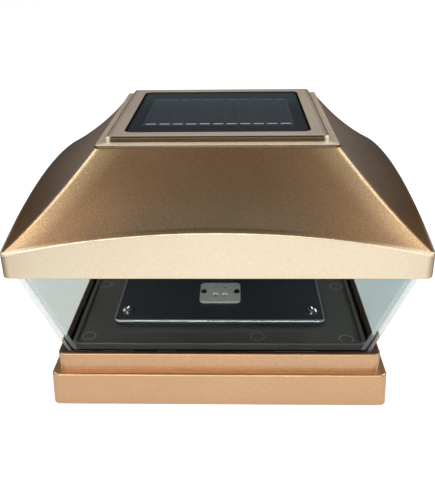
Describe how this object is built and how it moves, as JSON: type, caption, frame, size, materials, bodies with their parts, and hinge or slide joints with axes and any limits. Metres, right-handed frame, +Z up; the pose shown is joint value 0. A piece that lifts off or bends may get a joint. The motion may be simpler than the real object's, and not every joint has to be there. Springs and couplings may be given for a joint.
{
  "type": "solar post cap light",
  "caption": "Square post cap light: pagoda hood with a solar panel, flared clear lens, LED plate and a two-step foot that drops over a timber post.",
  "frame": {"origin": "middle of the foot rim's underside, where the cap would stand on a table", "axes": "+Z up, +X right, -Y the side that faces the viewer; the battery door's hinge edge is towards -Y"},
  "size_m": [0.1736, 0.1736, 0.1183],
  "materials": {
    "foot_bronze": "satin copper-bronze metallic paint on a moulded shell",
    "hood_bronze": "satin champagne-bronze metallic paint on a moulded shell",
    "smoked_plastic": "glossy smoked black moulding",
    "clear_lens": "clear polished acrylic",
    "satin_reflector": "satin grey moulding",
    "foam_tape": "closed-cell foam tape",
    "panel_board": "black laminate board",
    "solar_cell": "dark blue-black silicon strips",
    "silver_line": "printed silver line",
    "clear_resin": "clear glossy resin",
    "box_plastic": "fine-grained black moulding",
    "door_plastic": "fine-grained black moulding",
    "plate_plastic": "polished blue-black moulding",
    "board_mask": "aluminium board with a grey solder mask",
    "led_white": "white LED package",
    "led_phosphor": "yellow phosphor window",
    "tube_steel": "zinc-plated hollow rod",
    "nut_steel": "zinc-plated nuts",
    "cell_sleeve": "shrink-sleeved rechargeable cells",
    "contact_nickel": "nickel-plated strip",
    "switch_black": "moulded switch body",
    "switch_white": "moulded slider",
    "circuit_green": "green solder mask",
    "chip_black": "epoxy package",
    "can_aluminium": "aluminium can",
    "connector_white": "moulded connector",
    "clear_silicone": "silicone bead",
    "black_rubber": "moulded gasket",
    "screw_steel": "bright plated steel",
    "screw_dark": "black-oxide steel",
    "wire_insulation": "red and black insulated wire"
  },
  "bodies": {
    "light": {"base_shell": "foot_bronze", "hood_shell": "hood_bronze", "floor_tray": "smoked_plastic", "lens": "clear_lens", "reflector": "satin_reflector", "panel_tape": "foam_tape", "panel_board": "panel_board", "solar_cells": "solar_cell", "busbars": "silver_line", "panel_cover": "clear_resin", "equipment_box": "box_plastic", "light_plate": "plate_plastic", "light_boards": "board_mask", "led_packages": "led_white", "led_phosphors": "led_phosphor", "tie_tube": "tube_steel", "tube_nuts": "nut_steel", "tube_washer": "nut_steel", "battery_cells": "cell_sleeve", "battery_contacts": "contact_nickel", "contact_springs": "contact_nickel", "switch_body": "switch_black", "control_board": "circuit_green", "driver_chip": "chip_black", "inductor": "chip_black", "capacitor": "can_aluminium", "lead_header": "connector_white", "lead_plug": "connector_white", "lens_seal_lower": "clear_silicone", "lens_seal_upper": "clear_silicone", "plate_gasket": "black_rubber", "plate_screws": "screw_steel", "board_screws": "screw_dark", "flange_screws": "screw_steel", "circuit_screws": "screw_steel", "tray_screws": "screw_steel", "hood_screws": "screw_steel", "panel_lead": "wire_insulation", "board_leads": "wire_insulation", "battery_leads": "wire_insulation", "switch_leads": "wire_insulation"},
    "battery_door": {"battery_door": "door_plastic", "door_screw": "screw_steel"},
    "switch_slider": {"switch_slider": "switch_white"}
  },
  "joints": [
    {"name": "battery_door_tilt", "type": "hinge", "parent": "light", "child": "battery_door", "pos_m": [0, -0.0398, 0.0136], "axis": [-1, 0, 0], "range_deg": [0, 70]},
    {"name": "switch_slide", "type": "slide", "parent": "light", "child": "switch_slider", "axis": [1, 0, 0], "range_m": [0, 0.0034]}
  ]
}
